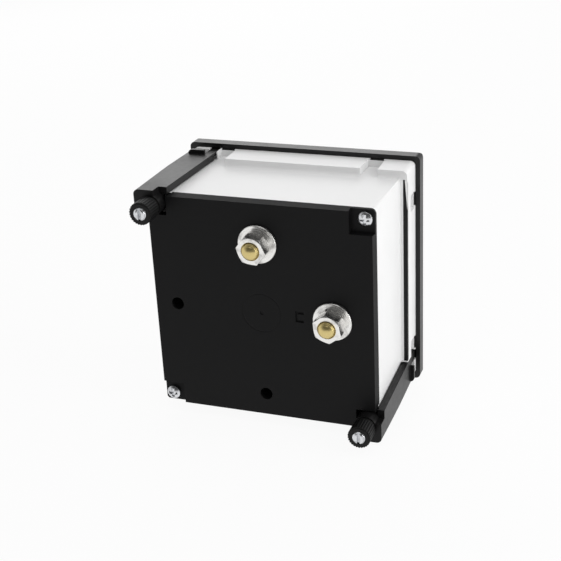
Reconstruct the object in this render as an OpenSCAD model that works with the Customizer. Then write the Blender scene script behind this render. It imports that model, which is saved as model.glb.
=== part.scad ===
// Square panel meter with a quadrant scale and a moving-iron movement.
// Frame: origin on the plane where the front frame seats on the panel, at the
// centre of the cut-out. -Y is the dial side, +Y the terminal side, +Z is up.
// Sizes are in millimetres.

/* [Front frame] */
// Width and height of the front frame
face_w = 96; // [90:1:116]
// Depth of the front frame in front of the panel
face_d = 5.6; // [5:0.1:8]
// Width of the frame strip that overlaps the panel on each side
face_lip = 1.9; // [1.5:0.1:4]
// Corner radius of the front frame
face_r = 2; // [1:0.1:3]
// Width of the frame beside the window
frame_w = 6; // [5.8:0.1:9]
// Height of the bar below the window
bar_h = 16.5; // [15:0.5:20]
// Thickness of the window pane
glass_t = 2; // [1.5:0.1:3]
// Overlap of the frame on the pane
glass_lap = 1.6; // [1:0.1:2.5]
// Radius of the quarter-round cover in front of the pivot
hood_r = 14; // [13:0.5:17]

/* [Housing] */
// Depth of the wide rim behind the panel plane
rim_d = 12.5; // [12:0.1:16]
// Step from the rim in to the body
rim_step = 3.1; // [2.6:0.1:4]
// Depth of the housing
body_d = 47.7; // [46:0.1:58]
// Draft of the body, added to each side from front to rear
body_draft = 0.7; // [0:0.1:0.9]
// Wall thickness of the housing
wall = 2; // [1.5:0.1:2.6]
// Outer corner radius of the housing and of its cover
body_r = 2; // [1:0.1:3]
// Radius of the concave fillet between the rim and the body
cove_r = 1.4; // [0.6:0.1:1.8]
// Gap between a clamp and the locating lug beside it
lug_gap = 0.85; // [0.85:0.05:4]
// Width of a locating lug
lug_w = 5.6; // [4:0.1:7]
// Height of a locating lug
lug_h = 0.6; // [0.5:0.1:1]

/* [Rear cover] */
// Depth of the cover's rim
cover_d = 3.6; // [3:0.1:5]
// Thickness of the cover's plate
cover_t = 2.5; // [2:0.1:3]
// Overhang of the cover's rim past the body
cover_lip = 0.45; // [0:0.05:0.6]
// Draft of the cover's rim
cover_draft = 0.65; // [0.2:0.05:1]
// Distance of the cover screws from the cover's edge
screw_in = 3.1; // [2.9:0.1:4]
// Diameter of a cover screw
screw_d = 3; // [2.5:0.1:3.5]
// Diameter of a cover screw's head
screw_head_d = 5.4; // [5:0.1:5.8]
// Depth of the corner pockets that the screw heads stand in
pocket_d = 2.4; // [2:0.1:2.6]
// Diameter of the two deep holes above the frame screws
well_d = 5; // [4.8:0.1:6]
// Distance of those holes from the centre
well_at = 34.5; // [30:0.5:36]

/* [Terminals] */
// Diameter of a terminal stud
stud_d = 6; // [5:0.1:7]
// Distance of the studs from the centre
stud_at = 28; // [24:0.5:30]
// Length of a stud behind the cover
stud_out = 10.4; // [9.6:0.1:16]
// Width of the terminal nut across its flats
nut_af = 10; // [9:0.1:12]
// Thickness of the terminal nut
nut_h = 5; // [4:0.1:5.6]
// Diameter of the flat washer
washer_d = 15; // [13:0.1:17]
// Thickness of the flat washer
washer_t = 1.4; // [1:0.1:1.6]
// Thickness of the spring washer
spring_t = 1.6; // [1:0.1:1.8]
// Thickness of the copper straps inside
strap_t = 0.8; // [0.5:0.1:1]

/* [Clamps] */
// Thickness of a clamp's two walls
clamp_t = 2.7; // [2:0.1:3]
// Width of a clamp's two walls
clamp_w = 12; // [11:0.1:13]
// Gap between a clamp and the body
clamp_gap = 0.35; // [0.3:0.05:0.5]
// Narrowing of a clamp's walls from front to rear
clamp_taper = 0.85; // [0:0.05:1]
// Thickness of the tongues in front of a clamp's feet
tongue_t = 1.4; // [1.2:0.1:1.6]
// Distance of the clamp's feet behind the panel plane
foot_at = 6.8; // [6.8:0.1:8]
// Thickness of a foot
foot_t = 1.4; // [1:0.1:3]
// Height of a foot
foot_h = 1.6; // [1:0.1:1.9]
// Length of a clamp behind the cover
clamp_out = 3.9; // [3:0.1:6]
// Diameter of the clamp rods
rod_d = 5; // [4:0.1:5.4]
// Distance of the rods from the body's side faces at the rear
rod_in = 3.1; // [3:0.1:3.6]
// Length of the rods behind the clamp
rod_out = 9.2; // [9:0.1:14]
// Diameter of the knurled nuts
knob_d = 8.8; // [8.4:0.1:9.4]
// Length of the knurled nuts
knob_h = 8.4; // [7:0.1:8.6]
// Number of grooves in a knurled nut
knob_grooves = 26; // [16:1:32]

/* [Movement] */
// Distance of the pivot from the body's side faces
pivot_in = 16; // [15.6:0.1:18]
// Radius of the scale's arc
scale_r = 56; // [50:1:58]
// Thickness of the scale plate
scale_t = 0.8; // [0.5:0.1:1]
// Outer radius of the coil
coil_r = 12; // [11:0.1:12.4]
// Length of the coil former
coil_l = 14; // [12:0.5:15]
// Radius of the bore of the coil former
coil_bore_r = 6.2; // [5.8:0.1:6.6]
// Radius of the spindle
spindle_r = 0.6; // [0.5:0.05:0.8]
// Turns of the hairspring
hair_turns = 4; // [3:1:5]
// Number of points on one turn of the hairspring
hair_steps = 24; // [16:1:32]

/* [Zero adjuster] */
// Distance of the adjuster below the pivot
zero_drop = 12; // [11.8:0.1:12.6]
// Eccentricity of its pin
zero_throw = 2; // [1.5:0.1:2.2]
// Radius of its slotted head
zero_r = 3; // [2.6:0.1:3.2]

/* [Hidden] */

$fn = 64;
eps = 0.01;
fit = 0.05;       // clearance of a running fit
seat = 0.3;       // clearance between pieces that move past each other
far = 2 * face_w;

// Plan sizes, as distances from the centre lines
face_half = face_w / 2;
rim_half = face_half - face_lip;
body_front = rim_half - rim_step;
body_rear = body_front + body_draft;
cavity = body_front - wall;
chamber = body_front - 1;
cover_front = body_rear + cover_lip;
cover_rear = cover_front - cover_draft;
window = face_half - frame_w;
window_low = -face_half + bar_h;
screw_at = cover_rear - screw_in + 0.1;

// Stations along Y
cover_y = body_d + cover_d;
cover_in_y = cover_y - cover_t;
groove = 0.8;      // depth that the housing enters the front frame
pane_y = -groove - glass_t - fit;
flange_d = 2;      // rim left standing in front of the clamps
lug_flange = 0.8;  // rim left standing behind the locating lugs
tongue_y = 0.3;    // front end of the clamps' tongues
pocket_skin = 1.2; // front frame left in front of the tongues' pockets
anchor_y = rim_d + 7.5;  // rear face of the corner blocks that hold the rods
rod_y = rim_d + 1;
scale_y = rim_d - 1.3;
scale_back = scale_y + scale_t;

// Clamps
clamp_rear = body_rear + clamp_gap + clamp_t;
clamp_edge = clamp_rear - clamp_w;
clamp_y = cover_y + clamp_out;
rod_at = body_rear - rod_in;
rod_root = rod_d / 2 - 0.6;
channel = rod_at - knob_d / 2 - 0.15;
lug_in = channel + seat;
tongue_w = 3.8;
tongue_in = body_front + clamp_gap + clamp_t - tongue_t;
rib_t = 0.5;      // rib between a tongue and the lug beside it
step_w = 4.1;     // width of the wall that stops short at the rear
rod_end = clamp_y + rod_out;
lug_at = clamp_edge - lug_gap - lug_w / 2;

// Movement
pivot = body_front - pivot_in;
cut_r = hood_r - 0.8;
post_r = 1.6;
post_at = 10.5 / sqrt(2);
bridge_y = 3.4;
bridge_t = 1.2;
bridge_boss = 1.4;
plate_t = 2;
front_plate_y = rim_d + 0.9;
air_y = front_plate_y + plate_t;
air_d = 6.4;
air_r = coil_r + 1;
coil_y = air_y + air_d + 0.4;
coil_end = coil_y + coil_l;
rear_plate_y = coil_end + 0.8;
rear_plate_end = rear_plate_y + plate_t;
flange_t = 1;
former_t = 0.8;
tip_front = bridge_y + bridge_t + bridge_boss;
tip_rear = rear_plate_y;
jewel_r = 1.25;
tail_r = 8;
pointer_y = tip_front + 1.9;
pillar_at = 11;
strap_gap = 1.3;  // from the coil's rim out to the straps

// Terminals
stud_in_y = 40;
boss_y = cover_in_y - 1.5;
stack_y = cover_y + washer_t + spring_t;
nut_out = stack_y + nut_h;
stud_end = cover_y + stud_out;

// ---------------------------------------------------------------- helpers

// Extrudes an outline drawn in X and Z from y0 to y1.
module along_y(y0, y1) {
    translate([0, y1, 0]) rotate([90, 0, 0]) linear_extrude(y1 - y0) children();
}

// Disc or tube along Y.
module disc(x, z, y0, y1, r, bore = 0) {
    along_y(y0, y1) translate([x, z]) difference() {
        circle(r);
        if (bore > 0) circle(bore);
    }
}

// Box between two corners.
module block(lo, hi) {
    translate(lo) cube(hi - lo);
}

// Rounded rectangle from its lower left to its upper right corner.
module panel(lo, hi, r) {
    translate([lo[0] + r, lo[1]]) square([hi[0] - lo[0] - 2 * r, hi[1] - lo[1]]);
    translate([lo[0], lo[1] + r]) square([hi[0] - lo[0], hi[1] - lo[1] - 2 * r]);
    for (x = [lo[0] + r, hi[0] - r], y = [lo[1] + r, hi[1] - r])
        translate([x, y]) circle(r);
}

// Square block whose sides lean from half width h0 at y0 to h1 at y1.
module drafted(h0, h1, y0, y1, r) {
    outline = [[-h0, y0], [h0, y0], [h1, y1], [-h1, y1]];
    big = max(h0, h1);
    intersection() {
        linear_extrude(3 * big, center = true) polygon(outline);
        rotate([0, 90, 0]) linear_extrude(3 * big, center = true) polygon(outline);
        along_y(y0, y1) panel([-big, -big], [big, big], r);
    }
}

// The body's outer skin, at a distance outside it.
module body_skin(y0, y1, out = 0) {
    slope = body_draft / (body_d - rim_d);
    drafted(body_front + out + slope * (y0 - rim_d),
            body_front + out + slope * (y1 - rim_d), y0, y1, body_r);
}

// Repeats at the two clamp corners.
module clamp_corners() {
    for (turn = [0, 180]) rotate([0, turn, 0]) children();
}

// Repeats at the two cover-screw corners.
module screw_corners() {
    for (turn = [90, 270]) rotate([0, turn, 0]) children();
}

// Everything outside a point on the corner's diagonal, from y0 to y1.
module corner(at, y0, y1) {
    block([at, y0, at], [far, y1, far]);
}

// Ring sector in the X-Z plane, from angle a0 to a1 and radius r0 to r1.
module sector(r0, r1, a0, a1, steps = 12) {
    angles = [for (i = [0 : steps]) a0 + (a1 - a0) * i / steps];
    reach = r1 / cos((a1 - a0) / steps / 2) + 1;
    intersection() {
        difference() {
            circle(r1);
            circle(r0);
        }
        polygon(concat([[0, 0]], [for (a = angles) reach * [cos(a), sin(a)]]));
    }
}

// ---------------------------------------------------------------- enclosure

// Window outline, grown outwards by g.
module window_outline(g) {
    difference() {
        panel([-window - g, window_low - g], [window + g, window + g], 1 + g);
        translate([pivot, -pivot]) circle(hood_r - g);
        translate([pivot, -far]) square([far, far - pivot + hood_r - g]);
    }
}

// Lugs on the four sides, h high and from y0 to y1.
module side_lugs(y0, y1, w, h) {
    for (turn = [0 : 90 : 270], at = [-lug_at, lug_at])
        rotate([0, turn, 0])
            block([at - w / 2, y0, rim_half - h], [at + w / 2, y1, rim_half + eps]);
}

module bezel() {
    chamfer = 0.7;
    ledge = 1.5;
    zx = pivot;
    zz = -pivot - zero_drop;
    color([0.12, 0.12, 0.12]) {
        difference() {
            union() {
                drafted(face_half - chamfer, face_half, -face_d, chamfer - face_d, face_r);
                along_y(chamfer - face_d, 0)
                    panel([-face_half, -face_half], [face_half, face_half], face_r);
            }
            along_y(-face_d - 1, 1) window_outline(0);
            along_y(-face_d - 1, ledge - face_d) window_outline(ledge);
            along_y(pane_y, 1) panel(
                [-window - glass_lap - fit, window_low - glass_lap - fit],
                [window + glass_lap + fit, window + glass_lap + fit], 1);
            disc(zx, zz, -face_d - 1, 1, zero_r + fit);
            disc(zx, zz, -2.2, 1, zero_r + 1.2);
            along_y(-groove, 1)
                panel([-rim_half - 0.1, -rim_half - 0.1], [rim_half + 0.1, rim_half + 0.1], body_r);
            clamp_corners() tongue_notch(pocket_skin - face_d, 1, rim_half + 0.1);
        }
        side_lugs(-groove - eps, 0.4, lug_w - 0.1, lug_h - fit);
    }
}

module glass() {
    color([0.8, 0.9, 0.92, 0.35]) along_y(pane_y, -groove - fit) panel(
        [-window - glass_lap, window_low - glass_lap],
        [window + glass_lap, window + glass_lap], 1);
}

// Material that the housing keeps round the rods and the cover screws.
module housing_bosses(y0) {
    clamp_corners() corner(channel - wall, y0, body_d);
    screw_corners() disc(screw_at, screw_at, 30, body_d, screw_d / 2 + 2.1);
}

module housing() {
    slot_low = window_low - 0.9;
    color([0.93, 0.93, 0.93]) difference() {
        union() {
            along_y(-groove, rim_d) panel([-rim_half, -rim_half], [rim_half, rim_half], body_r);
            body_skin(rim_d - eps, body_d);
            step_cove();
        }
        // front chamber, cavity and what stands in it
        along_y(-1, scale_back + fit) panel([-chamber, -chamber], [chamber, chamber], 1);
        difference() {
            along_y(scale_back, body_d + 1) panel([-cavity, -cavity], [cavity, cavity], 1);
            housing_bosses(scale_back);
            block([-far, scale_back, slot_low - 2], [pivot - cut_r - 1, scale_back + 2, slot_low]);
        }
        // seats of the clamps, with notches for their tongues
        clamp_corners() {
            difference() {
                corner_band(flange_d, rim_d + cove_r + eps);
                body_skin(flange_d - 1, rim_d + cove_r + 1);
            }
            tongue_notch(-1, flange_d + eps, far);
            corner(channel, anchor_y, body_d + 1);
            disc(rod_at, rod_at, rod_y, anchor_y + 1, rod_root + eps);
        }
        screw_corners() disc(screw_at, screw_at, body_d - 9, body_d + 1, screw_d / 2 + eps);
        side_lugs(-1, lug_flange + eps, lug_w, lug_h);
        lug_channels();
        // slot for the scale plate and the seat of its cover strip
        block([-far, scale_y - 0.1, slot_low], [-chamber + 1, scale_back + fit, chamber - 0.4]);
        slot_seat(0);
    }
}

// Concave fillet in the step from the rim to the body.
module step_cove() {
    steps = 5;
    for (i = [0 : steps - 1]) {
        a = 90 * i / steps;
        b = 90 * (i + 1) / steps;
        drafted(body_front + cove_r * (1 - sin(a)), body_front + cove_r * (1 - sin(b)),
                rim_d + cove_r * (1 - cos(a)) - eps, rim_d + cove_r * (1 - cos(b)),
                body_r + cove_r * (1 - sin(a)));
    }
}

// Cut-aways in the rim behind the locating lugs. Those above and below run out
// to the body, and beside a clamp they open into its seat. The others are pockets.
module lug_channels() {
    side = lug_w / 2 + 0.6;
    depth = 1.75;
    pocket_end = 7.3;
    rib = clamp_edge - seat - rib_t;
    for (turn = [0, 180]) rotate([0, turn, 0]) difference() {
        union() {
            block([-lug_at - side, lug_flange, body_front],
                  [-lug_at + side, rim_d + cove_r + eps, far]);
            block([lug_at - side, lug_flange, body_front],
                  [clamp_edge, rim_d + cove_r + eps, far]);
        }
        body_skin(rim_d - eps, rim_d + cove_r + 1);
        block([rib, 0, 0], [clamp_edge, flange_d + 3, far]);
    }
    for (turn = [90, 270], at = [-lug_at, lug_at]) rotate([0, turn, 0])
        block([at - side, lug_flange, rim_half - depth], [at + side, pocket_end, far]);
}

// Two bands beside a clamp corner that its walls run in.
module corner_band(y0, y1) {
    edge = clamp_edge - seat;
    block([edge, y0, body_front - 3], [far, y1, far]);
    block([body_front - 3, y0, edge], [far, y1, far]);
}

// Room for the two tongues, from y0 to y1 and out to top.
module tongue_notch(y0, y1, top) {
    for (turn = [0, 1]) mirror([turn, 0, -turn])
        block([clamp_edge - seat, y0, tongue_in - seat],
              [clamp_edge + tongue_w + seat, y1, top]);
}

// Seat of the strip in the rim's rear edge, shrunk by g on every side.
module slot_seat(g) {
    low = -clamp_edge + seat + 0.6;
    high = body_front - 0.3;
    width = 1.6;
    depth = 1.4;
    top_w = 0.7;
    translate([0, rim_d + eps - g, 0]) rotate([90, 0, 0])
        linear_extrude(depth - 2 * g) polygon([
            [-rim_half - eps + g, low + g],
            [-rim_half + width - g, low + g],
            [-rim_half + width - g, high - g],
            [-rim_half + width - top_w, high - g],
            [-rim_half - eps + g, high - 12]]);
}

module scale_slot_cover() {
    color([0.13, 0.12, 0.13]) slot_seat(0.03);
}

module rear_cover() {
    spigot = cavity - 0.2;
    pocket_y = cover_y - pocket_d;
    pocket_at = cover_rear - 8.6;
    color([0.11, 0.11, 0.11]) difference() {
        union() {
            difference() {
                drafted(cover_front, cover_rear, body_d, cover_y, body_r);
                // hollow behind the plate, solid at the corners
                difference() {
                    along_y(body_d - 1, cover_in_y) panel([-spigot + 1.5, -spigot + 1.5], [spigot - 1.5, spigot - 1.5], 1);
                    screw_corners() corner(pocket_at - 1.5, body_d - 2, cover_y);
                    clamp_corners() corner(channel - 2, body_d - 2, cover_y);
                }
            }
            // spigot that fits inside the housing
            difference() {
                along_y(body_d - 2, body_d + eps) panel([-spigot, -spigot], [spigot, spigot], 1);
                along_y(body_d - 3, body_d + 1) panel([-spigot + 1.5, -spigot + 1.5], [spigot - 1.5, spigot - 1.5], 1);
                screw_corners() corner(screw_at - screw_d / 2 - 2.4, body_d - 3, body_d);
                clamp_corners() corner(channel - wall - 0.2, body_d - 3, body_d);
            }
            for (at = [[0, stud_at], [-stud_at, 0]])
                disc(at[0], at[1], boss_y, cover_in_y + eps, stud_d / 2 + 4.5);
            for (at = [[well_at, 0], [0, -well_at]])
                disc(at[0], at[1], rear_plate_end, cover_in_y + eps, well_d / 2 + 1.3);
        }
        clamp_corners() {
            corner(channel, body_d - 3, cover_y + 1);
            difference() {
                corner_band(body_d - 3, cover_y + 1);
                along_y(body_d - 4, cover_y + 2) square(2 * body_rear, center = true);
            }
        }
        // corner pockets for the screw heads, open at the sides
        screw_corners() {
            corner(pocket_at, pocket_y, cover_y + 1);
            disc(screw_at, screw_at, body_d - 1, cover_y, screw_d / 2 + 0.15);
        }
        for (at = [[0, stud_at], [-stud_at, 0]])
            disc(at[0], at[1], boss_y - 1, cover_y + 1, stud_d / 2 + 0.1);
        for (at = [[well_at, 0], [0, -well_at]]) {
            disc(at[0], at[1], rear_plate_end + plate_t, cover_y + 1, well_d / 2);
            disc(at[0], at[1], rear_plate_end - 1, cover_y, screw_d / 2 + 0.1);
        }
        // moulding marks: sunk ring at the gate and a small keyed pocket
        disc(0, 0, cover_y - 0.06, cover_y + 1, 8, 7.5);
        disc(0, 0, cover_y - 0.3, cover_y + 1, 0.8);
        difference() {
            block([-16.6, cover_y - 0.6, -2.2], [-13.4, cover_y + 1, 2.2]);
            block([-17, cover_y - 1, -1.2], [-14.3, cover_y + 1, 1.2]);
        }
    }
}

// Pan-head screw with a cross recess: head under the point, shank towards -Y.
module pan_screw(d, head_d, head_h, length) {
    recess = head_d * 0.22;
    difference() {
        union() {
            intersection() {
                disc(0, 0, 0, head_h, head_d / 2);
                translate([0, head_h - head_d * 0.75, 0]) sphere(head_d * 0.75);
            }
            disc(0, 0, -length, eps, d / 2);
        }
        for (turn = [0, 90]) rotate([0, turn, 0])
            block([-head_d / 3, head_h - 1.1, -recess / 2], [head_d / 3, head_h + 1, recess / 2]);
    }
}

module cover_screws() {
    color([0.75, 0.75, 0.76]) screw_corners()
        translate([screw_at, cover_y - pocket_d, screw_at])
            pan_screw(screw_d, screw_head_d, 2, 8);
}

// ---------------------------------------------------------------- dial side

module scale_plate() {
    color([0.96, 0.96, 0.95]) along_y(scale_y, scale_back) difference() {
        translate([-chamber + 0.3, window_low - 0.7])
            square([2 * chamber - 0.6, chamber - 0.7 - window_low]);
        translate([pivot, -pivot]) circle(cut_r);
        translate([pivot, -far]) square([far, far - pivot + cut_r]);
    }
}

module zero_adjuster() {
    zz = -pivot - zero_drop;
    pin_y = tip_front - 0.4;
    color([0.15, 0.15, 0.15]) {
        difference() {
            union() {
                disc(pivot, zz, -face_d + 0.3, -0.9, zero_r);
                disc(pivot, zz, -2.1, -groove - 0.1, zero_r + 1);
            }
            translate([pivot, 0, zz]) block([-far, -face_d - 1, -0.45], [far, 1.5 - face_d, 0.45]);
        }
        disc(pivot, zz + zero_throw, -groove - 0.2, pin_y, 0.6);
    }
}

// Lever that carries the outer end of the hairspring and is moved by the pin.
module zero_lever() {
    lever_y = bridge_y + bridge_t + 0.15;
    lever_t = 0.8;
    reach = zero_drop - zero_throw;
    slot = 0.72;
    translate([pivot, 0, -pivot]) color([0.8, 0.7, 0.4]) {
        along_y(lever_y, lever_y + lever_t) difference() {
            union() {
                circle(3.6);
                translate([-2, -reach - 1.8]) square([4, reach]);
                rotate(225) translate([2, -0.9]) square([4.4, 1.8]);
            }
            circle(jewel_r + 0.8 + fit);
            translate([-slot, -reach - 2]) square([2 * slot, 3.6]);
        }
        rotate([0, -225, 0]) translate([6, 0, 0])
            block([-0.35, lever_y, -0.9], [0.35, tip_front + 1.1, 0.9]);
    }
}

// Flat spiral between its collet and the lever's post.
module hairspring() {
    r0 = 1.7;
    r1 = 5.4;
    strip = 0.15;
    steps = hair_turns * hair_steps;
    start = 225 - 360 * hair_turns;
    function arm(i, off) = let (a = start + 360 * hair_turns * i / steps)
        (r0 + (r1 - r0) * i / steps + off) * [cos(a), sin(a)];
    color([0.7, 0.6, 0.3]) translate([pivot, 0, -pivot])
        along_y(tip_front + 0.35, tip_front + 0.95)
            polygon(concat([for (i = [0 : steps]) arm(i, strip)],
                           [for (i = [steps : -1 : 0]) arm(i, -strip)]));
}

module front_bridge() {
    color([0.8, 0.68, 0.38]) translate([pivot, 0, -pivot]) difference() {
        union() {
            along_y(bridge_y, bridge_y + bridge_t) {
                rotate(45) square([2 * post_at * sqrt(2), 5], center = true);
                for (s = [-1, 1]) translate(s * [post_at, post_at]) circle(2.5);
            }
            disc(0, 0, bridge_y, tip_front - 0.35, jewel_r + 0.8);
        }
        disc(0, 0, 0, tip_front, jewel_r + eps);
        for (s = [-1, 1]) disc(s * post_at, s * post_at, 0, 9, 0.8);
    }
}

module bridge_screws() {
    color([0.7, 0.6, 0.35]) for (s = [-1, 1])
        translate([pivot + s * post_at, bridge_y, s * post_at - pivot]) rotate([180, 0, 0])
            slotted_screw(0.75, 1.5, 1, 5);
}

// Cheese-head screw: head towards +Y from the origin, shank towards -Y.
module slotted_screw(r, head_r, head_h, length) {
    difference() {
        union() {
            disc(0, 0, 0, head_h, head_r);
            disc(0, 0, -length, eps, r);
        }
        block([-head_r - 1, head_h * 0.5, -0.25], [head_r + 1, head_h + 1, 0.25]);
    }
}

// Screw with a cup at its inner end; the cup is at the origin, facing +Y.
module jewel_screw(length) {
    difference() {
        disc(0, 0, -length, 0, jewel_r);
        translate([0, eps, 0]) rotate([90, 0, 0]) cylinder(h = 0.6, r1 = 0.75, r2 = 0.15);
        block([-2, -length - 1, -0.2], [2, 0.7 - length, 0.2]);
    }
}

module front_jewel_screw() {
    color([0.75, 0.65, 0.35]) translate([pivot, tip_front - 0.2, -pivot]) jewel_screw(3.9);
}

module rear_jewel_screw() {
    color([0.75, 0.65, 0.35]) translate([pivot, tip_rear - 0.1, -pivot])
        rotate([180, 0, 0]) jewel_screw(5);
}

// ---------------------------------------------------------------- movement

// Plate round the pivot with ears for the pillars.
module movement_plate(y0, y1) {
    along_y(y0, y1) {
        circle(coil_r + 0.8);
        for (at = [[-1, 1], [1, 1], [-1, -1]]) {
            arm_outline(pillar_at * at, 5.2);
            translate(pillar_at * at) circle(2.6);
        }
    }
}

module movement_frame() {
    ears = [[well_at - pivot, pivot], [-pivot, pivot - well_at]];
    color([0.2, 0.2, 0.21]) translate([pivot, 0, -pivot]) difference() {
        union() {
            movement_plate(front_plate_y, front_plate_y + plate_t);
            movement_plate(rear_plate_y, rear_plate_end);
            for (at = [[-1, 1], [1, 1], [-1, -1]])
                disc(pillar_at * at[0], pillar_at * at[1], front_plate_y, rear_plate_end, 1.9);
            for (s = [-1, 1])
                disc(s * post_at, s * post_at, bridge_y + bridge_t, front_plate_y + eps, post_r);
            disc(0, 0, rear_plate_y, rear_plate_end + 1.5, jewel_r + 1.5);
            // arms to the two fixing bosses
            for (e = ears) {
                disc(e[0], e[1], rear_plate_y - 4, rear_plate_end, well_d / 2 + 1);
                along_y(rear_plate_y, rear_plate_end) arm_outline(e, 6);
            }
        }
        disc(0, 0, front_plate_y - 1, front_plate_y + plate_t + 1, 3.5);
        disc(0, 0, rear_plate_y - 1, rear_plate_end + 2, jewel_r + eps);
        for (s = [-1, 1])
            disc(s * post_at, s * post_at, bridge_y, bridge_y + 7, 0.75 + eps);
        for (e = ears) disc(e[0], e[1], rear_plate_y - 3, rear_plate_end + 1, screw_d / 2 + eps);
    }
}

// Straight arm from the centre to a point, w wide.
module arm_outline(to, w) {
    rotate(atan2(to[1], to[0])) translate([0, -w / 2]) square([norm(to), w]);
}

module frame_screws() {
    color([0.25, 0.25, 0.26]) for (at = [[well_at, 0], [0, -well_at]])
        translate([at[0], rear_plate_end + plate_t, at[1]])
            pan_screw(screw_d, well_d - 0.4, 1.8, plate_t * 2 + 2.5);
}

// Sector box that the damping vane swings in, open towards the spindle.
module damping_chamber() {
    skin = 0.8;
    y0 = air_y + 0.05;
    y1 = air_y + air_d;
    color([0.3, 0.3, 0.3]) translate([pivot, 0, -pivot]) difference() {
        along_y(y0, y1) sector(4, air_r, 76, 194, 16);
        along_y(y0 - 1, y1 - skin) sector(3, air_r - skin, 82, 188, 16);
    }
}

module coil_former() {
    color([0.85, 0.8, 0.65]) translate([pivot, 0, -pivot]) {
        disc(0, 0, coil_y, coil_end, coil_bore_r + former_t, coil_bore_r);
        disc(0, 0, coil_y, coil_y + flange_t, coil_r, coil_bore_r);
        disc(0, 0, coil_end - flange_t, coil_end, coil_r, coil_bore_r);
    }
}

module coil_winding() {
    y0 = coil_y + flange_t + fit;
    y1 = coil_end - flange_t - fit;
    color([0.72, 0.4, 0.2]) translate([pivot, 0, -pivot]) {
        disc(0, 0, y0, y1, coil_r - 0.4, coil_bore_r + former_t + fit);
        for (a = [100, 170]) rotate([0, -a, 0])
            block([coil_r - 1.5, y1 - 3, -1.2], [coil_r + strap_gap, y1 - 1, 1.2]);
    }
}

// Curved soft-iron sheet fixed in the coil's bore.
module fixed_vane() {
    color([0.55, 0.56, 0.58]) translate([pivot, 0, -pivot])
        along_y(coil_y + 1.5, coil_end - 1.5) sector(coil_bore_r - 0.55, coil_bore_r - 0.05, 150, 230);
}

module spindle() {
    tip = 0.7;
    y0 = tip_front - 0.5;
    y1 = tip_rear + 0.2;
    color([0.7, 0.7, 0.72]) translate([pivot, 0, -pivot]) {
        disc(0, 0, y0 + tip, y1 - tip, spindle_r);
        translate([0, y0 + tip + eps, 0]) rotate([90, 0, 0])
            cylinder(h = tip, r1 = spindle_r, r2 = 0.1);
        translate([0, y1 - tip - eps, 0]) rotate([-90, 0, 0])
            cylinder(h = tip, r1 = spindle_r, r2 = 0.1);
    }
}

module moving_vane() {
    color([0.55, 0.56, 0.58]) translate([pivot, 0, -pivot])
        along_y(coil_y + 2, coil_end - 2) difference() {
            union() {
                circle(spindle_r + 0.6);
                translate([-4.9, -0.3]) square([4.5, 0.6]);
                sector(4.5, 5, 150, 205);
            }
            circle(spindle_r);
        }
}

module damping_vane() {
    y0 = air_y + 0.6;
    y1 = air_y + air_d - 1.4;
    color([0.8, 0.81, 0.82]) translate([pivot, 0, -pivot]) difference() {
        union() {
            disc(0, 0, y0, y1, spindle_r + 0.8);
            block([-air_r + 1.4, y0, -0.2], [-0.8, y1, 0.2]);
            block([-air_r + 1.4, y0 + 0.2, -1.5], [-air_r + 1.8, y1 - 0.2, 1.5]);
        }
        disc(0, 0, 0, 60, spindle_r);
    }
}

module pointer() {
    bar = 38;
    color([0.08, 0.08, 0.08]) translate([pivot, 0, -pivot]) difference() {
        union() {
            disc(0, 0, pointer_y - 0.5, pointer_y + 1, spindle_r + 1.3);
            along_y(pointer_y, pointer_y + 0.5) {
                polygon([[-1, -1], [-bar, -0.8], [-bar - 2, -0.25], [-scale_r - 2, -0.2],
                         [-scale_r - 2, 0.2], [-bar - 2, 0.25], [-bar, 0.8], [-1, 1]]);
                translate([0, -0.7]) square([tail_r, 1.4]);
                translate([tail_r - 1.4, -2.6]) square([1.4, 5.2]);
            }
        }
        disc(0, 0, 0, 60, spindle_r);
    }
}

module balance_weights() {
    color([0.7, 0.6, 0.3]) translate([pivot, 0, -pivot]) for (z = [-2, 2])
        disc(tail_r - 0.7, z, pointer_y + 0.5, pointer_y + 2.1, 1.5);
}

// ---------------------------------------------------------------- terminals

module terminal_stud(x, z) {
    dome = 1.3;
    ball = (pow(stud_d / 2, 2) + dome * dome) / (2 * dome);
    color([0.78, 0.66, 0.32]) translate([x, 0, z]) {
        disc(0, 0, stud_in_y, stud_end - dome, stud_d / 2);
        intersection() {
            disc(0, 0, stud_end - dome - eps, stud_end, stud_d / 2);
            translate([0, stud_end - ball, 0]) sphere(ball);
        }
    }
}

module terminal_stud_top() terminal_stud(0, stud_at);
module terminal_stud_side() terminal_stud(-stud_at, 0);

// Hexagon nut with chamfered corners and countersunk ends.
module hex_nut(y0, h, turn) {
    r = nut_af / 2;
    corner_r = r / cos(30);
    cham = (corner_r - r) * 0.6;
    difference() {
        intersection() {
            translate([0, y0 + h, 0]) rotate([90, 0, 0]) rotate(turn) cylinder(h = h, r = corner_r, $fn = 6);
            translate([0, y0, 0]) rotate([-90, 0, 0]) rotate_extrude() polygon([
                [0, 0], [r, 0], [corner_r, cham], [corner_r, h - cham], [r, h], [0, h]]);
        }
        disc(0, 0, y0 - 1, y0 + h + 1, stud_d / 2 + fit);
        translate([0, y0 + h + eps, 0]) rotate([90, 0, 0])
            cylinder(h = 0.6, r1 = stud_d / 2 + 0.6, r2 = stud_d / 2);
    }
}

module terminal_nut(x, z, turn) {
    color([0.82, 0.82, 0.82]) translate([x, 0, z]) hex_nut(stack_y, nut_h, turn);
}

module terminal_nut_top() terminal_nut(0, stud_at, 8);
module terminal_nut_side() terminal_nut(-stud_at, 0, 22);

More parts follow.
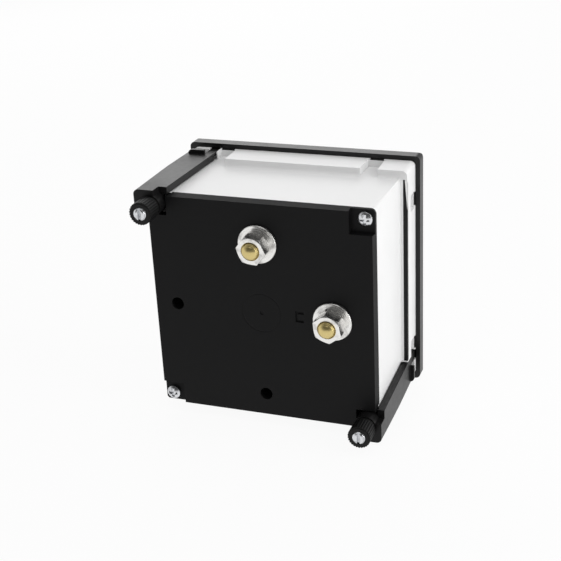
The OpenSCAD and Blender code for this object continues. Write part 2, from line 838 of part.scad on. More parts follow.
module terminal_washer(x, z) {
    edge = 0.2;
    color([0.82, 0.82, 0.82]) translate([x, cover_y, z]) rotate([-90, 0, 0])
        rotate_extrude() polygon([
            [stud_d / 2 + 0.2, 0], [washer_d / 2 - edge, 0], [washer_d / 2, edge],
            [washer_d / 2, washer_t - edge], [washer_d / 2 - edge, washer_t],
            [stud_d / 2 + 0.2, washer_t]]);
}

module terminal_washer_top() terminal_washer(0, stud_at);
module terminal_washer_side() terminal_washer(-stud_at, 0);

// Split ring, cut on the slant.
module spring_washer(x, z, turn) {
    y0 = cover_y + washer_t;
    color([0.8, 0.8, 0.8]) translate([x, 0, z]) difference() {
        disc(0, 0, y0, y0 + spring_t, stud_d / 2 + 2.4, stud_d / 2 + 0.15);
        rotate([0, turn, 0]) translate([0, y0 + spring_t / 2, stud_d / 2 + 1.2]) rotate([0, 0, 25])
            block([-0.4, -spring_t * 2, -3], [0.4, spring_t * 2, 3]);
    }
}

module spring_washer_top() spring_washer(0, stud_at, 50);
module spring_washer_side() spring_washer(-stud_at, 0, 20);

module inner_washers() {
    y1 = boss_y - strap_t;
    color([0.8, 0.8, 0.8]) for (at = [[0, stud_at], [-stud_at, 0]])
        disc(at[0], at[1], y1 - 1, y1, stud_d / 2 + 3, stud_d / 2 + 0.1);
}

module inner_nuts() {
    y1 = boss_y - strap_t - 1;
    color([0.8, 0.8, 0.8]) for (at = [[0, stud_at], [-stud_at, 0]])
        translate([at[0], 0, at[1]]) hex_nut(y1 - 4, 4, 0);
}

// Copper strap from a stud to one end of the coil, at angle a round it.
module coil_strap(from, a) {
    foot = [pivot, -pivot] + (coil_r + strap_gap + strap_t / 2) * [cos(a), sin(a)];
    run = foot - from;
    y1 = boss_y;
    color([0.75, 0.42, 0.22]) {
        along_y(y1 - strap_t, y1) difference() {
            union() {
                translate(from) circle(stud_d / 2 + 2.6);
                translate(from) arm_outline(run, 4);
                translate(foot) circle(2);
            }
            translate(from) circle(stud_d / 2 + 0.1);
        }
        translate([pivot, 0, -pivot]) rotate([0, -a, 0])
            block([coil_r + strap_gap, coil_end - 5, -2], [coil_r + strap_gap + strap_t, y1, 2]);
    }
}

module coil_strap_top() coil_strap([0, stud_at], 100);
module coil_strap_side() coil_strap([-stud_at, 0], 170);

// ---------------------------------------------------------------- clamps

// Outline of the corner that a clamp stands on: its two edges draw in to the rear.
module clamp_extent() {
    outline = [[clamp_edge, 0], [far, 0], [far, clamp_y], [clamp_edge + clamp_taper, clamp_y]];
    intersection() {
        linear_extrude(far) polygon(outline);
        mirror([1, 0, -1]) linear_extrude(far) polygon(outline);
    }
}

// Foot of one wall: a low plate across it, round at its outer end.
module clamp_foot() {
    start = clamp_edge + tongue_w;
    low = body_front + clamp_gap + 0.5;
    top = body_front + clamp_gap + clamp_t + foot_h - 0.15;
    end = clamp_rear - 1.35;
    along_y(foot_at, foot_at + foot_t) {
        translate([start, low]) square([end - foot_h - start, top - low]);
        translate([end - foot_h - eps, low]) square([foot_h + eps, top - low - foot_h]);
        translate([end - foot_h, top - foot_h]) circle(foot_h);
    }
}

// Corner clamp: two drafted walls, a tongue and a foot on each, and a lug for the rod.
module clamp() {
    out = clamp_gap + clamp_t;
    stop_y = clamp_y - 4.9;
    color([0.13, 0.13, 0.13]) difference() {
        union() {
            difference() {
                intersection() {
                    body_skin(tongue_y, clamp_y, out);
                    clamp_extent();
                }
                body_skin(0, stop_y, clamp_gap);
                // only the tongues reach forward of the feet, and they are thinner
                block([clamp_edge + tongue_w, 0, clamp_edge + tongue_w], [far, foot_at, far]);
                for (turn = [0, 1]) mirror([turn, 0, -turn])
                    block([0, 0, 0], [clamp_edge + tongue_w + 1, foot_at, tongue_in]);
                // inner part of each wall stops at the rear cover
                for (turn = [0, 1]) mirror([turn, 0, -turn])
                    block([0, stop_y, 0], [clamp_edge + step_w, clamp_y + 1, far]);
            }
            disc(rod_at, rod_at, stop_y - 1.2, clamp_y, rod_at - lug_in);
            intersection() {
                corner(rod_at, stop_y - 1.2, clamp_y);
                body_skin(rim_d, clamp_y, out - 0.1);
            }
            for (turn = [0, 1]) mirror([turn, 0, -turn]) clamp_foot();
        }
        disc(rod_at, rod_at, 0, clamp_y + 1, rod_d / 2 + 0.15);
    }
}

module clamp_right() clamp();
module clamp_left() rotate([0, 180, 0]) clamp();

module clamp_rod() {
    tip = 0.5;
    color([0.7, 0.7, 0.7]) translate([rod_at, 0, rod_at]) difference() {
        union() {
            disc(0, 0, rod_y, anchor_y + eps, rod_root);
            disc(0, 0, anchor_y, rod_end - tip, rod_d / 2);
            translate([0, rod_end - tip - eps, 0]) rotate([-90, 0, 0])
                cylinder(h = tip, r1 = rod_d / 2, r2 = rod_d / 2 - 0.4);
        }
        block([-0.5, rod_end - 1.3, -far], [0.5, rod_end + 1, far]);
    }
}

module clamp_rod_right() clamp_rod();
module clamp_rod_left() rotate([0, 180, 0]) clamp_rod();

module thumb_nut() {
    neck = 1.4;
    y0 = clamp_y + fit;
    groove = knob_d * 0.045;
    color([0.1, 0.1, 0.1]) translate([rod_at, 0, rod_at]) difference() {
        union() {
            disc(0, 0, y0, y0 + knob_h, knob_d / 2 - 0.6);
            along_y(y0 + neck, y0 + knob_h - 0.3) difference() {
                circle(knob_d / 2);
                for (i = [0 : knob_grooves - 1]) rotate(360 * i / knob_grooves)
                    translate([knob_d / 2 + groove * 0.3, 0]) rotate(45) square(groove * 1.5, center = true);
            }
        }
        disc(0, 0, 0, y0 + knob_h + 1, rod_d / 2 + fit);
    }
}

module thumb_nut_right() thumb_nut();
module thumb_nut_left() rotate([0, 180, 0]) thumb_nut();

bezel();
glass();
housing();
rear_cover();
cover_screws();
scale_plate();
scale_slot_cover();
zero_adjuster();
zero_lever();
hairspring();
front_bridge();
bridge_screws();
front_jewel_screw();
rear_jewel_screw();
movement_frame();
frame_screws();
damping_chamber();
coil_former();
coil_winding();
fixed_vane();
spindle();
moving_vane();
damping_vane();
pointer();
balance_weights();
terminal_stud_top();
terminal_stud_side();
inner_washers();
inner_nuts();
coil_strap_top();
coil_strap_side();
terminal_washer_top();
terminal_washer_side();
spring_washer_top();
spring_washer_side();
terminal_nut_top();
terminal_nut_side();
clamp_right();
clamp_left();
clamp_rod_right();
clamp_rod_left();
thumb_nut_right();
thumb_nut_left();
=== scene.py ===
"""Looks of a square moving-iron panel meter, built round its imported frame.

The frame gives every moulded, turned and stamped piece. This script gives each
of them its finish, and adds what a frame doesn't carry: rolled threads, the
turns of the coil, the enamelled tails, the printed dial and the lacquer drops
on the screws. Lengths are in metres, -Y is the dial side and +Z is up.
"""

import logging
import math
from dataclasses import dataclass, field
from enum import Enum
from typing import Callable, Dict, List, Mapping, Optional, Sequence, Tuple, Union

import bpy
import numpy as np
from mathutils import Euler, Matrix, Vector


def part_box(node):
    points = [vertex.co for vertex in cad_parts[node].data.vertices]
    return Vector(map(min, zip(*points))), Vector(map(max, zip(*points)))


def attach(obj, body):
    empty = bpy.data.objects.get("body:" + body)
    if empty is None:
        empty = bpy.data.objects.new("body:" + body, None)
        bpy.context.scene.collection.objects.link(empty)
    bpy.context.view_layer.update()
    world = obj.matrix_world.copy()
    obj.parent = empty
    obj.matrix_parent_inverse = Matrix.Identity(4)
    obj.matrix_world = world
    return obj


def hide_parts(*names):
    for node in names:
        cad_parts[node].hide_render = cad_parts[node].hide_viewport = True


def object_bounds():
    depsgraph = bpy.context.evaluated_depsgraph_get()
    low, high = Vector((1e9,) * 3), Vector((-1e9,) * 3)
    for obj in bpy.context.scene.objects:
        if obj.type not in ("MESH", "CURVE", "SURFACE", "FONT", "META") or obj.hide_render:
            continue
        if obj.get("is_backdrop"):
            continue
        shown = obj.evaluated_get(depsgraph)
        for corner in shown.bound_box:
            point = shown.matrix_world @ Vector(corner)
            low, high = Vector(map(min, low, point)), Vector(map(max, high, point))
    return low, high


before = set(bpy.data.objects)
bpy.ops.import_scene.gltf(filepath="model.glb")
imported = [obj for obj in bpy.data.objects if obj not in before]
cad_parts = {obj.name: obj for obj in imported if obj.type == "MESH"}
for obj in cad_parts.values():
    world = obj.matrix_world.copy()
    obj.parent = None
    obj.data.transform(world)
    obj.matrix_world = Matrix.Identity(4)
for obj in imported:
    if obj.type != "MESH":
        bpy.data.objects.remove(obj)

MM = 0.001
CASE = "case"
Colour = Tuple[float, float, float]
Point = Tuple[float, float]

log = logging.getLogger("panel_meter")


# ------------------------------------------------------------------ shader maths


class Wire:
    """One shader socket that takes part in plain arithmetic."""

    def __init__(self, graph: "Graph", socket: bpy.types.NodeSocket) -> None:
        """Keeps the socket and the graph that new nodes go into."""
        self.graph = graph
        self.socket = socket

    def __add__(self, other: "Value") -> "Wire":
        """Sum."""
        return self.graph.math("ADD", self, other)

    __radd__ = __add__

    def __sub__(self, other: "Value") -> "Wire":
        """Difference."""
        return self.graph.math("SUBTRACT", self, other)

    def __rsub__(self, other: "Value") -> "Wire":
        """Difference, reflected."""
        return self.graph.math("SUBTRACT", other, self)

    def __mul__(self, other: "Value") -> "Wire":
        """Product."""
        return self.graph.math("MULTIPLY", self, other)

    __rmul__ = __mul__

    def __truediv__(self, other: "Value") -> "Wire":
        """Quotient."""
        return self.graph.math("DIVIDE", self, other)

    def __pow__(self, other: "Value") -> "Wire":
        """Power."""
        return self.graph.math("POWER", self, other)

    def clamp(self) -> "Wire":
        """The value held between 0 and 1."""
        return self.graph.node("ShaderNodeClamp", {}, {"Value": self})

    def step(self, low: float, high: float) -> "Wire":
        """A smooth rise from 0 at low to 1 at high.

        Args:
            low: The value at which the rise starts.
            high: The value at which it ends.

        Returns:
            A wire between 0 and 1.
        """
        return self.graph.node(
            "ShaderNodeMapRange",
            {"interpolation_type": "SMOOTHSTEP"},
            {"Value": self, "From Min": low, "From Max": high},
        )


Value = Union[Wire, float]


class Graph:
    """A material's node tree, written as expressions."""

    def __init__(self, name: str) -> None:
        """Makes an empty material.

        Args:
            name: The material's name.
        """
        self.material = bpy.data.materials.new(name)
        self.material.use_nodes = True
        self.tree = self.material.node_tree
        self.tree.nodes.clear()

    def raw(self, kind: str, settings: Mapping, values: Mapping) -> bpy.types.Node:
        """Adds any node.

        Args:
            kind: The node's type.
            settings: Its properties, set first; "stops" holds a ramp's stops.
            values: Its inputs by name or place, as numbers or wires.

        Returns:
            The new node.
        """
        node = self.tree.nodes.new(kind)
        for key, value in settings.items():
            if key == "stops":
                elements = node.color_ramp.elements
                while len(elements) < len(value):
                    elements.new(0.5)
                for element, (place, shade) in zip(elements, value):
                    element.position = place
                    element.color = (*shade, 1.0)
            else:
                setattr(node, key, value)
        for key, value in values.items():
            if isinstance(value, Wire):
                self.tree.links.new(value.socket, node.inputs[key])
            else:
                node.inputs[key].default_value = value
        return node

    def node(
        self, kind: str, settings: Mapping, values: Mapping, out: Union[int, str] = 0
    ) -> Wire:
        """Adds any node and gives one of its outputs.

        Args:
            kind: The node's type.
            settings: Its properties.
            values: Its inputs.
            out: The output's place or name.

        Returns:
            A wire on that output.
        """
        return Wire(self, self.raw(kind, settings, values).outputs[out])

    def math(self, operation: str, first: Value, second: Value = 0.0) -> Wire:
        """One Math node."""
        return self.node(
            "ShaderNodeMath", {"operation": operation}, {0: first, 1: second}
        )

    def place(self) -> Wire:
        """The point on the object, in metres."""
        return self.node("ShaderNodeTexCoord", {}, {}, "Object")

    def stretched(self, scale: Sequence[float]) -> Wire:
        """The point on the object, scaled along each axis."""
        return self.node(
            "ShaderNodeMapping", {}, {"Vector": self.place(), "Scale": tuple(scale)}
        )

    def noise(self, size: float, detail: float = 2.0, at: Optional[Wire] = None) -> Wire:
        """Cloudy noise.

        Args:
            size: The size of a cloud, in metres.
            detail: How many finer layers it has.
            at: Where to read it, the object's own point if left out.

        Returns:
            A wire about 0.5.
        """
        return self.node(
            "ShaderNodeTexNoise",
            {},
            {"Vector": at or self.place(), "Scale": 1.0 / size, "Detail": detail},
        )

    def blend(self, share: Value, first: Union[Wire, Colour], second: Union[Wire, Colour]) -> Wire:
        """A mix of two colours."""
        pair = [c if isinstance(c, Wire) else (*c, 1.0) for c in (first, second)]
        return self.node(
            "ShaderNodeMix",
            {"data_type": "RGBA", "clamp_factor": True},
            {0: share, 6: pair[0], 7: pair[1]},
            2,
        )

    def radius(self, centre: Point) -> Wire:
        """Distance from an axis that runs along Y.

        Args:
            centre: Where the axis meets the X-Z plane, in metres.

        Returns:
            A wire in metres.
        """
        split = self.raw("ShaderNodeSeparateXYZ", {}, {0: self.place()})
        x = Wire(self, split.outputs[0]) - centre[0]
        z = Wire(self, split.outputs[2]) - centre[1]
        return (x * x + z * z) ** 0.5

    def rounded(self, edge: float) -> Wire:
        """The normal with the edges softened over a small radius."""
        return self.node("ShaderNodeBevel", {"samples": 6}, {"Radius": edge})

    def relief(self, height: Wire, depth: float, normal: Optional[Wire]) -> Wire:
        """A bumped normal.

        Args:
            height: The height, in shares of the depth.
            depth: The depth of the relief, in metres.
            normal: The normal that it starts from.

        Returns:
            The normal's wire.
        """
        values: Dict[str, object] = {"Height": height, "Distance": depth, "Strength": 1.0}
        if normal is not None:
            values["Normal"] = normal
        return self.node("ShaderNodeBump", {}, values)

    def close(self, values: Mapping) -> bpy.types.Material:
        """Ends the graph in one Principled shader.

        Args:
            values: The shader's inputs.

        Returns:
            The finished material.
        """
        shader = self.raw("ShaderNodeBsdfPrincipled", {}, values)
        self.raw("ShaderNodeOutputMaterial", {}, {"Surface": Wire(self, shader.outputs[0])})
        return self.material


# ------------------------------------------------------------------ finishes


@dataclass(frozen=True)
class Moulded:
    """Injection-moulded plastic with an even grain."""

    name: str
    colour: Colour
    roughness: float = 0.42
    grain: float = 0.5 * MM
    depth: float = 0.008 * MM
    mottle: float = 0.12
    edge: float = 0.25 * MM
    specular: float = 0.5

    def build(self) -> bpy.types.Material:
        """Lays slow clouds on the colour and gloss, and a fine grain on the normal."""
        g = Graph(self.name)
        cloud = g.noise(22 * MM, 3.0)
        fine = g.noise(1.7 * MM, 2.0)
        darker = tuple(c * (1.0 - self.mottle) for c in self.colour)
        lighter = tuple(min(1.0, c * (1.0 + self.mottle)) for c in self.colour)
        colour = g.blend((cloud - 0.5) * 1.6 + 0.5, darker, lighter)
        gloss = (cloud - 0.5) * 0.16 + (fine - 0.5) * 0.10 + self.roughness
        grain = g.noise(self.grain, 1.0)
        return g.close(
            {
                "Base Color": colour,
                "Roughness": gloss.clamp(),
                "Specular IOR Level": self.specular,
                "Normal": g.relief(grain, self.depth, g.rounded(self.edge)),
            }
        )


@dataclass(frozen=True)
class Plated:
    """Metal with tool marks round an axis, or drawn along Y, and a little tarnish."""

    name: str
    colour: Colour
    dark: Colour
    roughness: float = 0.2
    centre: Optional[Point] = None
    pitch: float = 0.16 * MM
    depth: float = 0.004 * MM
    stain: float = 0.5
    edge: float = 0.12 * MM

    def build(self) -> bpy.types.Material:
        """Rings come from noise read along the distance from the axis."""
        g = Graph(self.name)
        if self.centre is None:
            marks = g.noise(self.pitch, 2.0, g.stretched((1.0, 0.05, 1.0)))
        else:
            marks = g.node(
                "ShaderNodeTexNoise",
                {"noise_dimensions": "1D"},
                {"W": g.radius(self.centre) / self.pitch, "Scale": 1.0, "Detail": 2.0},
            )
        blotch = g.noise(2.6 * MM, 4.0).step(0.46, 0.74) * self.stain
        gloss = (marks - 0.5) * 0.12 + blotch * 0.18 + self.roughness
        return g.close(
            {
                "Base Color": g.blend(blotch, self.colour, self.dark),
                "Metallic": 1.0,
                "Roughness": gloss.clamp(),
                "Normal": g.relief(marks, self.depth, g.rounded(self.edge)),
            }
        )


@dataclass(frozen=True)
class Lacquered:
    """Smooth paint, enamel or ink."""

    name: str
    colour: Colour
    roughness: float = 0.5
    mottle: float = 0.04
    coat: float = 0.0

    def build(self) -> bpy.types.Material:
        """Adds faint clouds and the soft waviness of a sprayed or dipped film."""
        g = Graph(self.name)
        cloud = g.noise(9 * MM, 2.0)
        darker = tuple(c * (1.0 - self.mottle) for c in self.colour)
        return g.close(
            {
                "Base Color": g.blend(cloud, darker, self.colour),
                "Roughness": ((cloud - 0.5) * 0.1 + self.roughness).clamp(),
                "Coat Weight": self.coat,
                "Normal": g.relief(g.noise(0.8 * MM, 1.0), 0.003 * MM, None),
            }
        )


@dataclass(frozen=True)
class Pane:
    """A clear sheet that lets the lamps through."""

    name: str
    colour: Colour
    roughness: float = 0.02

    def build(self) -> bpy.types.Material:
        """Clear to a lamp's rays, refracting to all others, with faint wipe marks."""
        g = Graph(self.name)
        smear = g.noise(7 * MM, 4.0, g.stretched((1.0, 1.0, 0.35)))
        solid = g.node(
            "ShaderNodeBsdfPrincipled",
            {},
            {
                "Base Color": (*self.colour, 1.0),
                "Roughness": (smear.step(0.4, 0.8) * 0.03 + self.roughness),
                "Transmission Weight": 1.0,
                "IOR": 1.49,
            },
        )
        clear = g.node("ShaderNodeBsdfTransparent", {}, {"Color": (*self.colour, 1.0)})
        lamp = g.node("ShaderNodeLightPath", {}, {}, "Is Shadow Ray")
        mixed = g.node("ShaderNodeMixShader", {}, {0: lamp, 1: solid, 2: clear})
        g.raw("ShaderNodeOutputMaterial", {}, {"Surface": mixed})
        return g.material


Recipe = Union[Moulded, Plated, Lacquered, Pane]


class Finish(Enum):
    """Every finish on the meter."""

    FRAME_BLACK = Moulded(
        "frame_black", (0.0060, 0.0060, 0.0063), 0.36, 0.35 * MM, 0.006 * MM, specular=0.3
    )
    COVER_BLACK = Moulded(
        "cover_black", (0.0058, 0.0058, 0.0061), 0.48, 0.6 * MM, 0.007 * MM, specular=0.13
    )
    CLAMP_BLACK = Moulded(
        "clamp_black", (0.0065, 0.0063, 0.0065), 0.38, 0.5 * MM, 0.006 * MM, specular=0.2
    )
    KNOB_BLACK = Moulded(
        "knob_black", (0.006, 0.006, 0.006), 0.42, 0.4 * MM, 0.006 * MM, specular=0.2
    )
    HOUSING_WHITE = Moulded(
        "housing_white", (0.80, 0.80, 0.80), 0.40, 0.9 * MM, 0.004 * MM, 0.015, 0.2 * MM, 0.3
    )
    FORMER_NYLON = Moulded("former_nylon", (0.66, 0.60, 0.42), 0.40, 0.6 * MM)
    THERMOSET = Moulded("thermoset_grey", (0.035, 0.036, 0.040), 0.50, 0.4 * MM)
    SCREW_ZINC = Plated("screw_zinc", (0.72, 0.73, 0.75), (0.36, 0.36, 0.38), 0.24)
    ROD_ZINC = Plated("rod_zinc", (0.70, 0.71, 0.73), (0.30, 0.30, 0.32), 0.22)
    DARK_STEEL = Plated("dark_steel", (0.16, 0.16, 0.17), (0.08, 0.08, 0.08), 0.38)
    SOFT_IRON = Plated("soft_iron", (0.30, 0.30, 0.31), (0.16, 0.15, 0.14), 0.42)
    SPINDLE = Plated("spindle_steel", (0.62, 0.62, 0.64), (0.5, 0.5, 0.5), 0.14)
    ALUMINIUM = Plated("vane_aluminium", (0.80, 0.81, 0.82), (0.6, 0.6, 0.6), 0.30)
    MOVEMENT_BRASS = Plated("movement_brass", (0.80, 0.62, 0.28), (0.50, 0.36, 0.14), 0.26)
    SPRING_BRONZE = Plated("spring_bronze", (0.72, 0.48, 0.22), (0.5, 0.3, 0.12), 0.24)
    STRAP_COPPER = Plated("strap_copper", (0.80, 0.42, 0.25), (0.40, 0.18, 0.10), 0.30)
    NICKEL_TOP = Plated(
        "nickel_top", (0.86, 0.85, 0.83), (0.16, 0.15, 0.14), 0.26, (0.0, 28 * MM),
        0.42 * MM, 0.030 * MM, 0.45,
    )
    NICKEL_SIDE = Plated(
        "nickel_side", (0.86, 0.85, 0.83), (0.16, 0.15, 0.14), 0.26, (-28 * MM, 0.0),
        0.42 * MM, 0.030 * MM, 0.45,
    )
    NICKEL_INSIDE = Plated("nickel_inside", (0.78, 0.77, 0.75), (0.3, 0.3, 0.3), 0.2)
    STUD_BRASS = Plated(
        "stud_brass", (0.52, 0.44, 0.20), (0.18, 0.135, 0.05), 0.34, None, 0.5 * MM, 0.020 * MM, 0.9
    )
    COIL_ENAMEL = Lacquered("coil_enamel", (0.36, 0.10, 0.025), 0.28, 0.25, 0.6)
    DIAL_WHITE = Lacquered("dial_white", (0.78, 0.78, 0.76), 0.55, 0.015)
    DIAL_INK = Lacquered("dial_ink", (0.010, 0.010, 0.011), 0.45)
    POINTER_BLACK = Lacquered("pointer_black", (0.012, 0.012, 0.012), 0.55)
    SOLDER = Plated("solder", (0.60, 0.61, 0.62), (0.30, 0.30, 0.30), 0.30)
    SEAL_LACQUER = Lacquered("seal_lacquer", (0.42, 0.02, 0.015), 0.22, 0.2, 0.5)
    CLEAR_PANE = Pane("clear_pane", (0.97, 0.985, 0.98))

    def made(self) -> bpy.types.Material:
        """The material, built the first time it is asked for."""
        found = bpy.data.materials.get(self.value.name)
        return found if found is not None else self.value.build()


# ------------------------------------------------------------------ surfaces


@dataclass
class Surface:
    """Vertices and faces that are still arrays."""

    points: np.ndarray
    quads: np.ndarray = field(default_factory=lambda: np.zeros((0, 4), int))
    tris: np.ndarray = field(default_factory=lambda: np.zeros((0, 3), int))

    def joined(self, other: "Surface") -> "Surface":
        """This surface and another as one."""
        shift = len(self.points)
        return Surface(
            np.vstack([self.points, other.points]),
            np.vstack([self.quads, other.quads + shift]),
            np.vstack([self.tris, other.tris + shift]),
        )

    def flipped(self) -> "Surface":
        """The same surface with its faces turned over."""
        return Surface(self.points, self.quads[:, ::-1], self.tris[:, ::-1])


def skin(grid: np.ndarray, caps: bool = True) -> Surface:
    """Closes a tube of rings.

    A grid of rings by points round each ring becomes quads between neighbours,
    the last point of a ring joining the first. The end rings close with a fan
    to their middle.

    Args:
        grid: Rings, points and coordinates.
        caps: Whether the two ends are closed.

    Returns:
        The surface.
    """
    rings, around, _ = grid.shape
    i = np.arange(rings - 1)[:, None] * around
    j = np.arange(around)[None, :]
    k = (j + 1) % around
    quads = np.stack([i + j, i + k, i + around + k, i + around + j], -1).reshape(-1, 4)
    points = grid.reshape(-1, 3)
    tris = np.zeros((0, 3), int)
    if caps:
        ends = np.vstack([grid[0].mean(0), grid[-1].mean(0)])
        points = np.vstack([points, ends])
        j1 = np.arange(around)
        k1 = (j1 + 1) % around
        first = np.stack([k1, j1, np.full(around, rings * around)], -1)
        base = (rings - 1) * around
        last = np.stack([base + j1, base + k1, np.full(around, rings * around + 1)], -1)
        tris = np.vstack([first, last])
    return Surface(points, quads, tris)


def turned(centre: Point, y: np.ndarray, r: np.ndarray, around: int = 48) -> Surface:
    """A turned shape about an axis along Y.

    Each station y carries a circle of radius r, and r may also be a table of
    stations by angles, as on a thread.

    Args:
        centre: X and Z of the axis.
        y: Stations along the axis.
        r: Radius at each station, or at each station and angle.
        around: Points round the axis.

    Returns:
        The closed surface.
    """
    angle = np.linspace(0.0, 2.0 * np.pi, around, endpoint=False)
    radius = r if r.ndim == 2 else np.repeat(r[:, None], around, axis=1)
    grid = np.stack(
        [
            centre[0] + radius * np.cos(angle),
            np.repeat(y[:, None], around, axis=1),
            centre[1] + radius * np.sin(angle),
        ],
        -1,
    )
    return skin(grid).flipped()


def tube(path: np.ndarray, radius: float, around: int = 12) -> Surface:
    """A round wire along a path.

    At each point a circle lies across the path's direction. Its first axis is
    the cross product of the direction with a fixed vector that is never along
    it, and its second axis completes the frame.

    Args:
        path: Points of the wire's middle.
        radius: The wire's radius.
        around: Points round the wire.

    Returns:
        The closed surface.
    """
    along = np.gradient(path, axis=0)
    along /= np.linalg.norm(along, axis=1, keepdims=True)
    guide = np.array([0.31, 0.27, 0.91])
    side = np.cross(along, guide)
    side /= np.linalg.norm(side, axis=1, keepdims=True)
    up = np.cross(side, along)
    a = np.linspace(0.0, 2.0 * np.pi, around, endpoint=False)
    ring = side[:, None] * np.cos(a)[None, :, None] + up[:, None] * np.sin(a)[None, :, None]
    return skin(path[:, None] + radius * ring).flipped()


def smooth_path(knots: Sequence[Sequence[float]], count: int = 40) -> np.ndarray:
    """A smooth path through knots.

    Catmull-Rom: between two knots the point is the cubic whose ends match them
    and whose slopes are half the step between their neighbours.

    Args:
        knots: Points that the path goes through.
        count: Points in the result.

    Returns:
        The path.
    """
    k = np.asarray(knots, float)
    k = np.vstack([2 * k[0] - k[1], k, 2 * k[-1] - k[-2]])
    t = np.linspace(0, len(k) - 3 - 1e-9, count)
    i = t.astype(int)
    u = (t - i)[:, None]
    a, b, c, d = k[i], k[i + 1], k[i + 2], k[i + 3]
    return 0.5 * (
        2 * b + (c - a) * u + (2 * a - 5 * b + 4 * c - d) * u**2 + (3 * b - a - 3 * c + d) * u**3
    )


def plate_outline(loops: Sequence[np.ndarray], y: float) -> Surface:
    """Flat strips in a plane across Y, each between two edges of equal length.

    Args:
        loops: For each strip, an array of two edges by points by X and Z.
        y: The plane.

    Returns:
        The strips, facing the dial side.
    """
    whole: Optional[Surface] = None
    for loop in loops:
        count = loop.shape[1]
        flat = np.insert(loop.reshape(-1, 2), 1, y, axis=1)
        i = np.arange(count - 1)
        quads = np.stack([i, i + 1, i + count + 1, i + count], -1)
        piece = Surface(flat, quads)
        whole = piece if whole is None else whole.joined(piece)
    return whole


def piece(name: str, shape: Surface, finish: Finish, body: str, flat: bool = False) -> bpy.types.Object:
    """Makes a mesh object of a surface.

    Args:
        name: The piece's name.
        shape: Its surface.
        finish: Its finish.
        body: The body that it rides on.
        flat: Whether its faces are shaded flat.

    Returns:
        The object.
    """
    mesh = bpy.data.meshes.new(name)
    faces = [*map(tuple, shape.quads.tolist()), *map(tuple, shape.tris.tolist())]
    mesh.from_pydata(shape.points.tolist(), [], faces)
    mesh.polygons.foreach_set("use_smooth", np.full(len(mesh.polygons), not flat))
    mesh.update()
    made = bpy.data.objects.new(name, mesh)
    bpy.context.scene.collection.objects.link(made)
    made.data.materials.append(finish.made())
    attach(made, body)
    log.info("piece %s: %d vertices on %s", name, len(shape.points), body)
    return made


def dress(finishes: Mapping[Finish, Sequence[str]]) -> None:
    """Gives nodes of the frame their finishes.

    Args:
        finishes: Names of nodes under each finish.
    """
    for finish, names in finishes.items():
        for name in names:
            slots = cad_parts[name].material_slots
            for slot in slots:
                slot.material = finish.made()
            log.info("node %s: %s", name, finish.value.name)


# ------------------------------------------------------------------ threads


@dataclass(frozen=True)
class Thread:
    """An external metric thread about an axis along Y."""

    centre: Point
    start: float
    end: float
    radius: float
    pitch: float
    dome: float = 0.0
    around: int = 40
    steps: int = 8

    def surface(self) -> Surface:
        """Builds the threaded rod.

        The radius is the major radius less a V-shaped groove whose phase moves
        on by one pitch a turn. It fades out near the end, where a dome or a
        chamfer takes over.

        Returns:
            The closed surface.
        """
        length = self.end - self.start
        y = np.linspace(self.start, self.end, int(length / self.pitch * self.steps))
        if self.dome > 0.0:
            extra = self.end - self.dome * (1 - np.sin(np.linspace(0, np.pi / 2, 16)))
            y = np.unique(np.concatenate([y, extra]))
        angle = np.linspace(0.0, 2.0 * np.pi, self.around, endpoint=False)
        phase = (y[:, None] / self.pitch - angle[None, :] / (2 * np.pi)) % 1.0
        groove = np.clip(1.0 - np.abs(phase - 0.5) * 2.6, 0.0, 1.0)
        r = self.radius - 0.55 * self.pitch * groove
        if self.dome > 0.0:
            sphere = (self.radius**2 + self.dome**2) / (2 * self.dome)
            inside = np.clip(sphere**2 - (y - (self.end - sphere)) ** 2, 1e-12, None)
            r = np.minimum(r, np.sqrt(inside)[:, None])
        else:
            chamfer = np.clip((self.end - y) + self.radius - 0.45 * MM, 0.0, None)
            r = np.minimum(r, chamfer[:, None])
        return turned(self.centre, y, r, self.around)


def slotted(made: bpy.types.Object, low: Sequence[float], high: Sequence[float]) -> None:
    """Cuts a box out of a piece for good.

    Args:
        made: The piece.
        low: The box's lowest corner.
        high: Its highest corner.
    """
    corners = np.array(np.meshgrid(*zip(low, high), indexing="ij")).reshape(3, -1).T
    faces = [(0, 1, 3, 2), (4, 6, 7, 5), (0, 4, 5, 1), (2, 3, 7, 6), (0, 2, 6, 4), (1, 5, 7, 3)]
    mesh = bpy.data.meshes.new("cutter")
    mesh.from_pydata(corners.tolist(), [], faces)
    cutter = bpy.data.objects.new("cutter", mesh)
    bpy.context.scene.collection.objects.link(cutter)
    cut = made.modifiers.new("slot", "BOOLEAN")
    cut.operation = "DIFFERENCE"
    cut.solver = "EXACT"
    cut.object = cutter
    seen = made.evaluated_get(bpy.context.evaluated_depsgraph_get())
    result = bpy.data.meshes.new_from_object(seen)
    made.modifiers.clear()
    made.data = result
    bpy.data.objects.remove(cutter)


def box_mm(node: str) -> np.ndarray:
    """A node's lowest and highest corners, as a 2 by 3 array in metres."""
    return np.array([tuple(corner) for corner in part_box(node)])


def axis_of(node: str) -> Point:
    """X and Z of the middle of a node's box."""
    low, high = box_mm(node)
    return ((low[0] + high[0]) / 2, (low[2] + high[2]) / 2)


# ------------------------------------------------------------------ sub-assemblies


@dataclass
class Enclosure:
    """The front frame, its window, the housing and the rear cover."""

    def build(self) -> None:
        """Dresses the mouldings and their screws."""
        dress(
            {
                Finish.FRAME_BLACK: ["bezel", "zero_adjuster"],
                Finish.CLEAR_PANE: ["glass"],
                Finish.HOUSING_WHITE: ["housing"],
                Finish.COVER_BLACK: ["rear_cover"],
                Finish.CLAMP_BLACK: ["scale_slot_cover"],
                Finish.SCREW_ZINC: ["cover_screws"],
            }
        )


